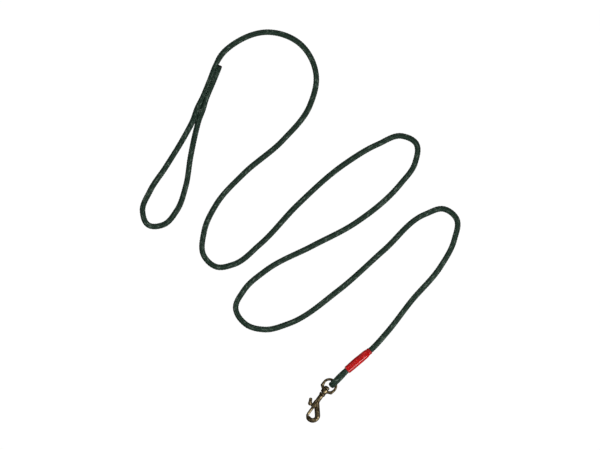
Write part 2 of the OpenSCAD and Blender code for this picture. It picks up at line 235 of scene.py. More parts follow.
def braid_height(u, v):
    """Height of a braid's surface, from 0 to 1. u counts its columns and v its picks."""
    column = np.floor(u)
    across = u - column - 0.5
    lean = 1 - 2 * (column % 2)
    strand = (v - lean * (u - column_shift) + 0.5) % 1
    column_height = column_edge + (1 - column_edge) * np.cos(math.pi * across)
    return column_height * (strand_edge + (1 - strand_edge) * np.sin(math.pi * strand))


def rope_ring(row, centre, axes, place, share, melted):
    """One ring of points round the rope. share shrinks it, and melted, from 0 to 1, wears off the
    braid."""
    u = (np.arange(rope_count) + 0.5) / samples
    angle = u * 2 * math.pi / strands_each_way + lay_turn * place
    cos, sin = np.cos(angle), np.sin(angle)
    half_w, half_t = row[3] / 2 + proud, row[4] / 2 + proud
    normal = unit(np.column_stack([cos / half_w, sin / half_t]))
    sunk = relief * (1 - braid_height(u, place / pick)) * (1 - melted) + relief / 2 * melted
    flat = (np.column_stack([half_w * cos, half_t * sin]) - sunk[:, None] * normal) * share
    return centre + flat[:, :1] * axes[0] + flat[:, 1:] * axes[1]


rope_rings, places = [], []
for end in (0, -1):
    out = -1 if end == 0 else 1
    cap = []
    for k in range(melt_rings):
        angle = math.pi / 2 * (k + 1) / (melt_rings + 0.5)
        centre = rope_path[end] + out * melt_l * math.sin(angle) * ahead[end]
        place = rope_run[end] + out * melt_l * math.sin(angle)
        share = math.cos(angle) ** cap_bluntness
        ring = rope_ring(rows[end], centre, (side[end], up[end]), place, share, 1)
        cap.append((ring, place))
    if end == 0:
        rope_rings += [ring for ring, place in reversed(cap)]
        places += [place for ring, place in reversed(cap)]
        for i in range(len(rows)):
            from_end = min(rope_run[i], rope_run[-1] - rope_run[i])
            melted = max(0, 1 - from_end / melt_l)
            axes = (side[i], up[i])
            rope_rings.append(rope_ring(rows[i], rope_path[i], axes, rope_run[i], 1, melted))
            places.append(rope_run[i])
    else:
        rope_rings += [ring for ring, place in cap]
        places += [place for ring, place in cap]

places = np.array(places)
tips = [rope_path[0] - melt_l * ahead[0], rope_path[-1] + melt_l * ahead[-1]]
points = np.vstack([*rope_rings, *tips])
points[:, 2] = np.maximum(points[:, 2], 0)
first_tip, last_tip = len(points) - 2, len(points) - 1
faces, face_uvs = [], []
for m in range(len(places) - 1):
    low_v, high_v = places[m] / pick, places[m + 1] / pick
    for k in range(rope_count):
        a, b = m * rope_count + k, m * rope_count + (k + 1) % rope_count
        c, d = b + rope_count, a + rope_count
        low_u, high_u = (k + 0.5) / samples, (k + 1.5) / samples
        corner = {a: (low_u, low_v), b: (high_u, low_v), c: (high_u, high_v), d: (low_u, high_v)}
        leans_right = int(low_u) % 2 == 0
        pair = ((a, b, c), (a, c, d)) if leans_right else ((a, b, d), (b, c, d))
        for triangle in pair:
            faces.append(triangle)
            face_uvs += [corner[point] for point in triangle]
last_ring = (len(places) - 1) * rope_count
for k in range(rope_count):
    following = (k + 1) % rope_count
    faces += [(following, k, first_tip), (last_ring + k, last_ring + following, last_tip)]
    for v in (places[0] / pick, places[-1] / pick):
        face_uvs += [((k + 1.5) / samples, v), ((k + 0.5) / samples, v), ((k + 1) / samples, v)]

braided_rope = new_piece("braided_rope", points, faces)
braid_uv = braided_rope.data.uv_layers.new(name="braid")
braid_uv.data.foreach_set("uv", np.array(face_uvs, np.float32).ravel())
melt = braided_rope.data.attributes.new("melt", "FLOAT", "POINT")
from_ends = np.minimum(places, rope_run[-1] - places)
melt_values = np.repeat(np.clip(1 - from_ends / melt_l, 0, 1), rope_count)
melt.data.foreach_set("value", np.append(melt_values, [1, 1]).astype(np.float32))


def colour(red, green, blue):
    """A colour from its eight-bit values, as a shader's linear one."""
    def linear(value):
        share = value / 255
        return share / 12.92 if share <= 0.04045 else ((share + 0.055) / 1.055) ** 2.4
    return (linear(red), linear(green), linear(blue), 1)


def add(tree, kind, inputs=None, **settings):
    """Adds a node with its settings, and gives its inputs values or links them to other sockets."""
    made = tree.nodes.new(kind)
    for name, value in settings.items():
        setattr(made, name, value)
    for name, value in (inputs or {}).items():
        if isinstance(value, bpy.types.NodeSocket):
            tree.links.new(value, made.inputs[name])
        else:
            made.inputs[name].default_value = value
    return made


def sums(tree, operation, first, second=0.0, third=0.0):
    """The result of one math node."""
    inputs = {0: first, 1: second, 2: third}
    return add(tree, "ShaderNodeMath", inputs, operation=operation).outputs[0]


def mixed(tree, share, first, second, blend="MIX"):
    """Mixes two colours by a share."""
    made = add(tree, "ShaderNodeMix", data_type="RGBA", blend_type=blend)
    for index, value in ((0, share), (6, first), (7, second)):
        if isinstance(value, bpy.types.NodeSocket):
            tree.links.new(value, made.inputs[index])
        else:
            made.inputs[index].default_value = value
    return made.outputs[2]


def ramped(tree, value, *stops):
    """A smooth ramp from 0 to 1 and back through the given (place, value) stops."""
    made = add(tree, "ShaderNodeValToRGB", {0: value})
    made.color_ramp.interpolation = "EASE"
    elements = made.color_ramp.elements
    for index, (place, level) in enumerate(stops):
        stop = elements[index] if index < 2 else elements.new(place)
        stop.position = place
        stop.color = (level, level, level, 1)
    return made.outputs[0]


def new_material(name):
    """A material with its tree and its shader."""
    material = bpy.data.materials.new(name)
    material.use_nodes = True
    return material, material.node_tree, material.node_tree.nodes["Principled BSDF"]


def dress(piece, material):
    """Gives a piece one material."""
    piece.data.materials.clear()
    piece.data.materials.append(material)


yarn_green = colour(42, 63, 51)
# Pale grey-green: partly the yarn's mottled tone, partly painted sheen on the crowns of the floats.
pale_yarn_and_sheen = colour(98, 116, 103)
# Darkest yarn colour: it paints the shade in the braid's creases, and is also the colour of dark
# fibres and of the melted ends.
dark_yarn_and_crease_shade = colour(2, 10, 6)
yarns = 4
yarn_relief = 0.00016
rope_shine = 0.12

rope_material, tree, shader = new_material("green_braid")
uv = add(tree, "ShaderNodeUVMap", uv_map="braid").outputs[0]
apart = add(tree, "ShaderNodeSeparateXYZ", {0: uv})
u, v = apart.outputs[0], apart.outputs[1]
column = sums(tree, "FLOOR", u)
across = sums(tree, "ABSOLUTE", sums(tree, "SUBTRACT", sums(tree, "FRACT", u), 0.5))
lean = sums(tree, "SUBTRACT", 1, sums(tree, "MULTIPLY", sums(tree, "MODULO", column, 2), 2))
leaning = sums(tree, "MULTIPLY", lean, sums(tree, "SUBTRACT", u, column_shift))
lane = sums(tree, "ADD", sums(tree, "SUBTRACT", v, leaning), 0.5)
in_strand = sums(tree, "FRACT", lane)
along_strand = sums(tree, "ADD", v, leaning)
strand_round = sums(tree, "SINE", sums(tree, "MULTIPLY", in_strand, math.pi))
yarn_wave = sums(tree, "SINE", sums(tree, "MULTIPLY", in_strand, yarns * math.pi))
yarn_round = sums(tree, "ABSOLUTE", yarn_wave)
float_end = ramped(tree, across, (0.3, 1), (0.5, 0))
key = add(tree, "ShaderNodeCombineXYZ", {0: sums(tree, "FLOOR", lane), 1: column}).outputs[0]
each = add(tree, "ShaderNodeTexWhiteNoise", {0: key}, noise_dimensions="3D").outputs[0]
fibre_place = add(tree, "ShaderNodeCombineXYZ", {
    0: sums(tree, "MULTIPLY", lane, 34), 1: sums(tree, "MULTIPLY", along_strand, 3), 2: column,
}).outputs[0]
fibre = add(tree, "ShaderNodeTexNoise", {"Vector": fibre_place, "Scale": 1, "Detail": 3}).outputs[0]
here = add(tree, "ShaderNodeTexCoord").outputs["Object"]
mottle = add(tree, "ShaderNodeTexNoise", {"Vector": here, "Scale": 210, "Detail": 2}).outputs[0]
melt_mask = add(tree, "ShaderNodeAttribute", attribute_name="melt").outputs["Fac"]

# Painted shade: the valleys between strands, the ends of the floats where they dive under and the
# grooves between yarns are darkened towards the darkest yarn colour.
shade = sums(tree, "MULTIPLY", sums(tree, "POWER", strand_round, 0.6), float_end)
shade = sums(tree, "MULTIPLY", shade, sums(tree, "MULTIPLY_ADD", yarn_round, 0.35, 0.65))
tint = mixed(tree, ramped(tree, shade, (0, 0), (0.75, 1)), dark_yarn_and_crease_shade, yarn_green)
# Pale patches on the crowns of the floats only: partly the yarn's mottled tone, partly painted sheen
# where the crowns catch the light.
pale_and_sheen = sums(tree, "MULTIPLY", each, sums(tree, "MULTIPLY", mottle, 1.3))
pale_and_sheen = sums(tree, "MULTIPLY", ramped(tree, pale_and_sheen, (0.35, 0), (0.75, 1)), shade)
tint = mixed(tree, pale_and_sheen, tint, pale_yarn_and_sheen)
tint = mixed(tree, ramped(tree, fibre, (0.35, 0.35), (0.7, 0)), tint, dark_yarn_and_crease_shade)
tint = mixed(tree, melt_mask, tint, dark_yarn_and_crease_shade)
tree.links.new(tint, shader.inputs["Base Color"])
rough = sums(tree, "MULTIPLY_ADD", fibre, 0.25, 0.42)
rough = sums(tree, "SUBTRACT", rough, sums(tree, "MULTIPLY", melt_mask, 0.25))
tree.links.new(rough, shader.inputs["Roughness"])
height = sums(tree, "MULTIPLY_ADD", yarn_round, 0.6, sums(tree, "MULTIPLY", fibre, 0.5))
height = sums(tree, "MULTIPLY", height, sums(tree, "SUBTRACT", 1, melt_mask))
bump = add(tree, "ShaderNodeBump", {"Height": height, "Distance": yarn_relief, "Strength": 0.9})
tree.links.new(bump.outputs[0], shader.inputs["Normal"])
shader.inputs["Specular IOR Level"].default_value = rope_shine
dress(braided_rope, rope_material)

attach(braided_rope, "lead")
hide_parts("rope_cover")


# Core: a bundle of straight undyed filler yarns that the cover is braided round. Nothing fixes it but
# the cover's grip, and it is seen only where the rope is cut.
core_sides = 12
core_step = 2
cover_wall = 0.0015

angle = np.arange(core_sides) * 2 * math.pi / core_sides
kept = slice(core_step, -core_step, core_step)
core_w = (rows[kept, 3:4] / 2 - cover_wall) * np.cos(angle)
core_t = (rows[kept, 4:5] / 2 - cover_wall) * np.sin(angle)
core_rings = rope_path[kept, None] + core_w[..., None] * side[kept, None]
core_rings += core_t[..., None] * up[kept, None]
core_faces = [tuple(range(core_sides - 1, -1, -1))]
for m in range(len(core_rings) - 1):
    for k in range(core_sides):
        a, b = m * core_sides + k, m * core_sides + (k + 1) % core_sides
        core_faces.append((a, b, b + core_sides, a + core_sides))
core_faces.append(tuple((len(core_rings) - 1) * core_sides + k for k in range(core_sides)))
filler_core = new_piece("filler_core", core_rings.reshape(-1, 3), core_faces)

core_material, tree, shader = new_material("filler_yarn")
here = add(tree, "ShaderNodeTexCoord").outputs["Object"]
strands = add(tree, "ShaderNodeTexNoise", {"Vector": here, "Scale": 1800, "Detail": 3}).outputs[0]
tint = mixed(tree, strands, colour(150, 146, 134), colour(214, 211, 200))
tree.links.new(tint, shader.inputs["Base Color"])
bump = add(tree, "ShaderNodeBump", {"Height": strands, "Distance": 0.0002})
tree.links.new(bump.outputs[0], shader.inputs["Normal"])
shader.inputs["Roughness"].default_value = 0.8
dress(filler_core, core_material)
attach(filler_core, "lead")
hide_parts("rope_core")


# Seam of the hand loop: a heavy waxed thread of two plies, pulled through both strands and laid
# slantwise to and fro over the groove between them.
thread_d = 0.0009
handle_stitches = 15
handle_stitch_w = 0.0056
stitch_slant = math.radians(24)
stitch_sag = 0.0009
plies = 2
ply_depth = 0.14
ply_turn = 2 * math.pi / 0.0026


def thread_loop(width, height, sag):
    """Centres of one stitch: a closed loop across the seam, whose long sides sag to the groove."""
    many = 72
    angle = np.arange(many) * 2 * math.pi / many
    square = 4
    x = np.sign(np.cos(angle)) * np.abs(np.cos(angle)) ** (2 / square) * width / 2
    z = np.sign(np.sin(angle)) * np.abs(np.sin(angle)) ** (2 / square) * height / 2
    z -= np.sign(z) * sag * np.cos(np.pi * x / width) ** 2
    return np.column_stack([x, np.zeros(many), z])


def even_loop(centres, many):
    """The same closed loop with evenly spaced centres, and its length."""
    closed = np.vstack([centres, centres[:1]])
    run = np.append(0, np.cumsum(np.linalg.norm(np.diff(closed, axis=0), axis=1)))
    places = np.linspace(0, run[-1], many, endpoint=False)
    return np.column_stack([np.interp(places, run, column) for column in closed.T]), run[-1]


def thread_mesh(centres, thick, first_point):
    """Points, faces and thread coordinates of a twisted thread along a closed loop of centres."""
    sides = 8
    many = 64
    centres, length = even_loop(centres, many)
    side, up, _ = cross_axes(centres, closed=True)
    turns = round(length * ply_turn / (2 * math.pi))
    angle = np.arange(sides) * 2 * math.pi / sides
    points, faces, uvs = [], [], []
    for i in range(many):
        twist = 2 * math.pi * turns * i / many
        radius = thick / 2 * (1 - ply_depth + ply_depth * np.cos(plies * (angle - twist)))
        ring = radius[:, None] * (np.cos(angle)[:, None] * side[i] + np.sin(angle)[:, None] * up[i])
        points.append(centres[i] + ring)
        for k in range(sides):
            after, beside = (i + 1) % many, (k + 1) % sides
            faces.append([first_point + j for j in (
                i * sides + k, i * sides + beside, after * sides + beside, after * sides + k)])
            low, high = i / many * turns, (i + 1) / many * turns
            left, right = k / sides, (k + 1) / sides
            uvs += [(left, low), (right, low), (right, high), (left, high)]
    return np.vstack(points), faces, uvs


def seam(name, runs, width, height, middle_z, slant, sag):
    """One piece with the stitches of a seam: runs gives the start, end and count of each row."""
    points, faces, uvs, at = [], [], [], 0
    for start, end, many in runs:
        start, end = Vector(start), Vector(end)
        heading = math.atan2(start.x - end.x, end.y - start.y)
        for k in range(many):
            place = start.lerp(end, (k + 0.5) / many)
            turn = Matrix.Rotation(heading + slant * (-1) ** k, 3, "Z")
            loop, loop_faces, loop_uvs = thread_mesh(thread_loop(width, height, sag), thread_d, at)
            points.append(loop @ np.array(turn).T + (place.x + hitch.x, place.y + hitch.y, middle_z))
            at += len(loop)
            faces += loop_faces
            uvs += loop_uvs
    piece = new_piece(name, np.vstack(points), faces)
    layer = piece.data.uv_layers.new(name="thread")
    layer.data.foreach_set("uv", np.array(uvs, np.float32).ravel())
    return piece


def thread_material(name, light, dark):
    """Waxed thread, with painted shade that darkens the grooves between its plies."""
    material, tree, shader = new_material(name)
    uv = add(tree, "ShaderNodeUVMap", uv_map="thread").outputs[0]
    apart = add(tree, "ShaderNodeSeparateXYZ", {0: uv})
    wound = sums(tree, "SUBTRACT", apart.outputs[0], apart.outputs[1])
    ply = sums(tree, "ABSOLUTE", sums(tree, "SINE", sums(tree, "MULTIPLY", wound, plies * math.pi)))
    strand = sums(tree, "SINE", sums(tree, "MULTIPLY", wound, 14 * math.pi))
    # Painted shade: the grooves between the plies are mixed towards the darker colour.
    tint = mixed(tree, ramped(tree, ply, (0, 0), (0.6, 1)), dark, light)
    tree.links.new(tint, shader.inputs["Base Color"])
    height = sums(tree, "MULTIPLY_ADD", strand, 0.12, ply)
    bump = add(tree, "ShaderNodeBump", {"Height": height, "Distance": 0.00008})
    tree.links.new(bump.outputs[0], shader.inputs["Normal"])
    shader.inputs["Roughness"].default_value = 0.38
    return material


first_half = handle_stitches // 2
handle_seam = seam(
    "hand_loop_seam",
    [
        (sewn_run[0], sewn_run[1], first_half),
        (sewn_run[1], sewn_run[2], handle_stitches - first_half),
    ],
    handle_stitch_w, sewn_t, (sewn_t + thread_d) / 2, stitch_slant, stitch_sag,
)
# The second colour is the painted shade in the grooves between the plies.
dress(handle_seam, thread_material("green_thread", colour(58, 78, 66), colour(18, 28, 22)))
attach(handle_seam, "lead")
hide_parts("handle_stitching")


# Seam at the snap: seven stitches of undyed waxed thread, straight through both strands of the
# doubled rope. They hold the fold shut round the ring, and the sleeve covers them.
sleeve_stitches = 7
sleeve_stitch_w = 0.004
seam_margin = 0.004
stitch_low, stitch_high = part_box("clip_end_stitching")
doubled_heading = (Vector(doubled_run[3]) - Vector(doubled_run[1])).normalized()
clip_end_seam = seam(
    "clip_end_seam",
    [(
        Vector(doubled_run[1]) + seam_margin * doubled_heading,
        Vector(doubled_run[3]) - seam_margin * doubled_heading,
        sleeve_stitches,
    )],
    sleeve_stitch_w, stitch_high.z - stitch_low.z - thread_d, sleeve_z, 0, 0,
)
# The second colour is the painted shade in the grooves between the plies.
dress(clip_end_seam, thread_material("undyed_thread", colour(196, 190, 172), colour(110, 104, 90)))
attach(clip_end_seam, "lead")
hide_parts("clip_end_stitching")


# Sleeve: a red heat-shrink tube over the seam at the snap. It is glossy, shows the strands and the
# stitches under it as soft lumps, and tapers in puckers to a neck on the single rope.
sleeve_start = Vector((hitch.x + doubled_run[1][0], hitch.y + doubled_run[1][1], sleeve_z))
sleeve_turn = math.atan2(0.045, 0.011)
sleeve_l = 0.045
sleeve_taper_l = 0.006
sleeve_neck_l = 0.003
sleeve_wall = 0.0005
sleeve_r = sleeve_z
neck_r = rope_d / 2 + sleeve_wall
sleeve_sides = 72
sleeve_rings = 90
sleeve_full = 0.0004
groove_depth = 0.00028
square_depth = 0.0002
stitch_lump, stitch_pitch = 0.0001, 0.0039
drift_depth = 0.00012
pucker_depth, puckers = 0.00016, 9
neck_ring_depth, neck_ring_l = 0.0001, 0.0019
lip_rise, lip_l, lip_round = 0.00022, 0.0012, 0.00015


def eased(value):
    """A smooth step from 0 to 1."""
    value = min(1, max(0, value))
    return value * value * (3 - 2 * value)


bpy.ops.mesh.primitive_circle_add(vertices=sleeve_sides, radius=1)
shrink_tube = bpy.context.object
shrink_tube.name = "shrink_tube"
bpy.ops.object.mode_set(mode="EDIT")
bpy.ops.mesh.select_all(action="SELECT")
for _ in range(sleeve_rings):
    bpy.ops.mesh.extrude_region_move(TRANSFORM_OT_translate={"value": (0, 0, 1 / sleeve_rings)})
bpy.ops.object.mode_set(mode="OBJECT")

body_l = sleeve_l - sleeve_taper_l - sleeve_neck_l
for vertex in shrink_tube.data.vertices:
    along = vertex.co.z * sleeve_l
    angle = math.atan2(vertex.co.y, vertex.co.x)
    taper = eased((along - body_l) / sleeve_taper_l)
    radius = sleeve_r + (neck_r - sleeve_r) * taper
    lip = lip_rise * math.exp(-along / lip_l)
    full = sleeve_full * math.sin(math.pi * min(1, along / body_l))
    groove = groove_depth * math.cos(2 * angle) * (1 - taper)
    square = -square_depth * math.cos(4 * angle) * (1 - taper)
    stitch_wave = math.cos(2 * math.pi * along / stitch_pitch)
    lump = stitch_lump * stitch_wave * max(0, math.cos(2 * angle)) ** 2 * (1 - taper)
    drift = drift_depth * math.sin(angle + 190 * along) * math.sin(95 * along + 2 * angle)
    pucker_wave = math.sin(puckers * angle + 3 * math.sin(2 * angle))
    pucker = pucker_depth * pucker_wave * math.sin(math.pi * taper)
    neck_ring = neck_ring_depth * math.cos(2 * math.pi * along / neck_ring_l) * taper
    radius += groove + full + square + lump + drift + pucker + neck_ring + lip
    vertex.co = (radius * math.cos(angle), radius * math.sin(angle), along)
bpy.ops.object.mode_set(mode="EDIT")
bpy.ops.mesh.select_all(action="SELECT")
bpy.ops.mesh.normals_make_consistent(inside=False)
bpy.ops.object.mode_set(mode="OBJECT")
thicken = shrink_tube.modifiers.new("wall", "SOLIDIFY")
thicken.thickness = sleeve_wall
thicken.offset = -1
bpy.ops.object.modifier_apply(modifier="wall")
rounding = shrink_tube.modifiers.new("lip", "BEVEL")
rounding.width = lip_round
rounding.segments = 2
rounding.limit_method = "ANGLE"
bpy.ops.object.modifier_apply(modifier="lip")
shrink_tube.data.shade_smooth()
upright = Matrix.Rotation(sleeve_turn, 4, "Z") @ Matrix.Rotation(math.pi / 2, 4, "Y")
shrink_tube.data.transform(Matrix.Translation(sleeve_start) @ upright)
for vertex in shrink_tube.data.vertices:
    vertex.co.z = max(vertex.co.z, 0)

sleeve_material, tree, shader = new_material("red_shrink_tube")
here = add(tree, "ShaderNodeTexCoord").outputs["Object"]
cloud = add(tree, "ShaderNodeTexNoise", {"Vector": here, "Scale": 160, "Detail": 3}).outputs[0]
fine = add(tree, "ShaderNodeTexNoise", {"Vector": here, "Scale": 1400, "Detail": 2}).outputs[0]
tint = mixed(tree, ramped(tree, cloud, (0.3, 0), (0.7, 1)), colour(150, 3, 4), colour(184, 7, 8))
tree.links.new(tint, shader.inputs["Base Color"])
rough = sums(tree, "MULTIPLY_ADD", ramped(tree, fine, (0.4, 0), (0.75, 1)), 0.06, 0.15)
tree.links.new(rough, shader.inputs["Roughness"])
ripple = sums(tree, "MULTIPLY_ADD", fine, 0.15, cloud)
bump = add(tree, "ShaderNodeBump", {"Height": ripple, "Distance": 0.0001, "Strength": 0.2})
tree.links.new(bump.outputs[0], shader.inputs["Normal"])
shader.inputs["Specular IOR Level"].default_value = 0.22
dress(shrink_tube, sleeve_material)
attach(shrink_tube, "lead")
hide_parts("shrink_sleeve")


# Snap body: one brass casting with a hook, a spine, a barrel and a peened swivel post. It is turned
# and cut only where the bolt runs, then plated, darkened and rubbed back on its high places.
spin = next(j for j in frame["joints"] if j["name"] == "swivel_spin")
snap_pitch = math.atan2(spin["axis"][2], spin["axis"][1])
snap_frame = Matrix.Translation(spin["pos_m"]) @ Matrix.Rotation(snap_pitch, 4, "X")

barrel_r = 0.0033
housing_r = 0.0040
housing_l = 0.010
mouth_y = 0.0172
flange_y = 0.006
flange_r = 0.0043
flange_t = 0.0017
post_r = 0.0019
head_y = 0.0174
head_r = 0.0041
head_h = 0.0030
hook_r = 0.0072
bend_middle = Vector((0.007, -0.0274, 0))
spine_thick = 0.0037
hook_thick = 0.0032
tip_thick = 0.0021
spine_angle = math.radians(40)
tip_bend = math.radians(-115)
tip = Vector((0.0006, -0.0308, 0))
bore_r = 0.00225
bore_end = 0.0049
stud_y = -0.0140
slot_half = 0.00155
bolt_travel = 0.008
cast_voxel = 0.00026
cast_rounds = 5
body_fullness = 0.00025
mouth_edge = 0.0005
shoulder_l = 0.002
flange_edge = 0.0003
head_rim = 0.001
head_dome = ((0.0021, 0.82), (0.0027, 0.5), (head_h, 0.12))
slot_reach = 0.008
bore_over = 0.003
tip_cut_l, tip_cut_w = 0.004, 0.012


def active(piece):
    """Selects one piece alone."""
    bpy.ops.object.select_all(action="DESELECT")
    piece.select_set(True)
    bpy.context.view_layer.objects.active = piece


def turned(name, profile, sides=64):
    """A round solid about the Y axis, drawn out ring by ring through (place, radius) pairs."""
    place, radius = profile[0]
    bpy.ops.mesh.primitive_circle_add(
        vertices=sides, radius=radius, fill_type="NGON", location=(0, place, 0),
        rotation=(math.pi / 2, 0, 0),
    )
    piece = bpy.context.object
    piece.name = name
    bpy.ops.object.transform_apply()
    bpy.ops.object.mode_set(mode="EDIT")
    bpy.ops.mesh.select_all(action="SELECT")
    for next_place, next_radius in profile[1:]:
        bpy.ops.mesh.extrude_region_move(
            TRANSFORM_OT_translate={"value": (0, next_place - place, 0)}
        )
        share = next_radius / radius
        bpy.ops.transform.resize(value=(share, 1, share), center_override=(0, next_place, 0))
        place, radius = next_place, next_radius
    bpy.ops.mesh.select_all(action="SELECT")
    bpy.ops.mesh.normals_make_consistent(inside=False)
    bpy.ops.object.mode_set(mode="OBJECT")
    return piece


def bar(name, places, radii, flatness=1.0):
    """A bar with round ends along smooth places, thicker and thinner as its radii say."""
    bpy.ops.curve.primitive_nurbs_path_add()
    piece = bpy.context.object
    piece.name = name
    piece.data.splines.clear()
    line = piece.data.splines.new("POLY")
    line.points.add(len(places) - 1)
    for point, place, radius in zip(line.points, places, radii):
        point.co = (*place, 1)
        point.radius = radius
    piece.data.bevel_depth = 1
    piece.data.bevel_resolution = 8
    piece.data.use_fill_caps = True
    bpy.ops.object.convert(target="MESH")
    bpy.ops.transform.resize(value=(1, 1, flatness), center_override=(0, 0, 0))
    bpy.ops.object.transform_apply()
    return bpy.context.object


def knob(place, radius):
    """A ball."""
    bpy.ops.mesh.primitive_uv_sphere_add(segments=32, ring_count=16, radius=radius, location=place)
    bpy.ops.object.transform_apply()
    return bpy.context.object


def joined(name, *parts):
    """Joins parts into one object under a new name."""
    bpy.ops.object.select_all(action="DESELECT")
    for part in parts:
        part.select_set(True)
    bpy.context.view_layer.objects.active = parts[0]
    bpy.ops.object.join()
    parts[0].name = name
    return parts[0]


def cast(piece, voxel, rounds, fullness):
    """Melts a piece's overlapping parts into one skin and softens its corners, as in a casting. The
    swell gives back what the softening takes, and the fullness besides."""
    active(piece)
    skin = piece.modifiers.new("skin", "REMESH")
    skin.mode = "VOXEL"
    skin.voxel_size = voxel
    bpy.ops.object.modifier_apply(modifier="skin")
    soft = piece.modifiers.new("soft", "SMOOTH")
    soft.factor = 0.5
    soft.iterations = rounds
    bpy.ops.object.modifier_apply(modifier="soft")
    swell = piece.modifiers.new("swell", "DISPLACE")
    swell.mid_level = 0
    swell.strength = voxel * rounds / 12 + fullness
    bpy.ops.object.modifier_apply(modifier="swell")
    piece.data.shade_smooth()


def cut(piece, *tools):
    """Cuts tools out of a piece, and takes them away."""
    for tool in tools:
        active(piece)
        bite = piece.modifiers.new("bite", "BOOLEAN")
        bite.operation = "DIFFERENCE"
        bite.solver = "EXACT"
        bite.object = tool
        bpy.ops.object.modifier_apply(modifier="bite")
        bpy.data.objects.remove(tool)


def set_in_snap(piece, angle=35):
    """Shades a finished piece and sets it down from the snap's own frame to where the snap lies."""
    active(piece)
    bpy.ops.object.shade_smooth_by_angle(angle=math.radians(angle))
    piece.data.transform(snap_frame)
    for vertex in piece.data.vertices:
        vertex.co.z = max(vertex.co.z, 0)


def on_bend(angle):
    """A place on the middle line of the hook's bend."""
    return bend_middle + hook_r * Vector((math.cos(angle), math.sin(angle), 0))


spine_start = Vector((0.0014, -0.0095, 0))
bend_start = on_bend(spine_angle)
bend_places = [on_bend(spine_angle + (tip_bend - spine_angle) * k / 20) for k in range(21)]
bend_radii = [spine_thick + (hook_thick - spine_thick) * eased(k / 8) for k in range(21)]
spine_places = [spine_start.lerp(bend_start, k / 8) for k in range(8)]
tip_places = [bend_places[-1].lerp(tip, k / 4) for k in (1, 2, 3, 4, 5)]
tip_radii = [hook_thick + (tip_thick - hook_thick) * k / 5 for k in (1, 2, 3, 4, 5)]
hook = bar(
    "hook", [*spine_places, *bend_places, *tip_places],
    [*[spine_thick] * len(spine_places), *bend_radii, *tip_radii],
)
barrel = turned("barrel", [
    (-mouth_y, housing_r - mouth_edge), (-mouth_y + mouth_edge, housing_r),
    (-mouth_y + housing_l, housing_r), (-mouth_y + housing_l + shoulder_l, barrel_r),
    (flange_y - shoulder_l, barrel_r), (flange_y - flange_edge, flange_r),
    (flange_y + flange_t, flange_r), (flange_y + flange_t, post_r), (head_y, post_r),
    (head_y, head_r), (head_y + head_rim, head_r),
    *((head_y + rise, head_r * share) for rise, share in head_dome),
])
snap_casting = joined("snap_casting", barrel, hook, knob(spine_start, spine_thick))
cast(snap_casting, cast_voxel, cast_rounds, body_fullness)

bore = turned("bore", [(-mouth_y - bore_over, bore_r), (bore_end, bore_r)], 48)
bpy.ops.mesh.primitive_cube_add(size=1, location=(-slot_reach / 2, stud_y + bolt_travel / 2, 0))
slot_middle = bpy.context.object
slot_middle.scale = (slot_reach, bolt_travel, 2 * slot_half)
bpy.ops.object.transform_apply()
slot_ends = []
for y in (stud_y, stud_y + bolt_travel):
    bpy.ops.mesh.primitive_cylinder_add(
        vertices=48, radius=slot_half, depth=slot_reach, location=(-slot_reach / 2, y, 0),
        rotation=(0, math.pi / 2, 0),
    )
    bpy.ops.object.transform_apply()
    slot_ends.append(bpy.context.object)
bpy.ops.mesh.primitive_cube_add(size=1, location=(tip.x, tip.y + tip_cut_l / 2, 0))
tip_cut = bpy.context.object
tip_cut.scale = (tip_cut_w, tip_cut_l, tip_cut_w)
bpy.ops.object.transform_apply()
cut(snap_casting, bore, slot_middle, *slot_ends, tip_cut)
set_in_snap(snap_casting)


def worn_metal_group():
    """Masks of handled, darkened metal: edge wear, dark stains in hollows, scratches and grain."""
    group = bpy.data.node_groups.new("worn_metal", "ShaderNodeTree")
    for name, low in (("Grain", 900.0), ("Wear", 0.5)):
        socket = group.interface.new_socket(name, in_out="INPUT", socket_type="NodeSocketFloat")
        socket.default_value = low
    for name in ("Rubbed", "Stained", "Height"):
        group.interface.new_socket(name, in_out="OUTPUT", socket_type="NodeSocketFloat")
    inside = add(group, "NodeGroupInput")
    here = add(group, "ShaderNodeTexCoord").outputs["Object"]
    grain = add(group, "ShaderNodeTexNoise", {"Vector": here, "Scale": inside.outputs["Grain"]})
    blotch = add(group, "ShaderNodeTexNoise", {"Vector": here, "Scale": 330, "Detail": 5})
    streak_place = add(group, "ShaderNodeMapping", {"Vector": here, "Scale": (2600, 240, 2600)})
    streak_at = streak_place.outputs[0]
    streak = add(group, "ShaderNodeTexNoise", {"Vector": streak_at, "Scale": 1, "Detail": 2})
    edges = add(group, "ShaderNodeNewGeometry").outputs["Pointiness"]
    high = ramped(group, edges, (0.5, 0), (0.56, 1))
    hollow = ramped(group, edges, (0.42, 1), (0.5, 0))
    patch = ramped(group, blotch.outputs[0], (0.42, 0), (0.62, 1))
    rubbed = sums(group, "MULTIPLY", inside.outputs["Wear"], sums(group, "ADD", high, patch))
    rubbed = sums(group, "MULTIPLY", rubbed, ramped(group, streak.outputs[0], (0.3, 0.35), (0.65, 1)))
    stained = sums(group, "ADD", hollow, ramped(group, blotch.outputs[0], (0.36, 0.6), (0.5, 0)))
    height = sums(group, "MULTIPLY_ADD", streak.outputs[0], 0.4, grain.outputs[0])
    outside = add(group, "NodeGroupOutput")
    for name, socket in (("Rubbed", rubbed), ("Stained", stained), ("Height", height)):
        group.links.new(socket, outside.inputs[name])
    return group


worn_metal = worn_metal_group()


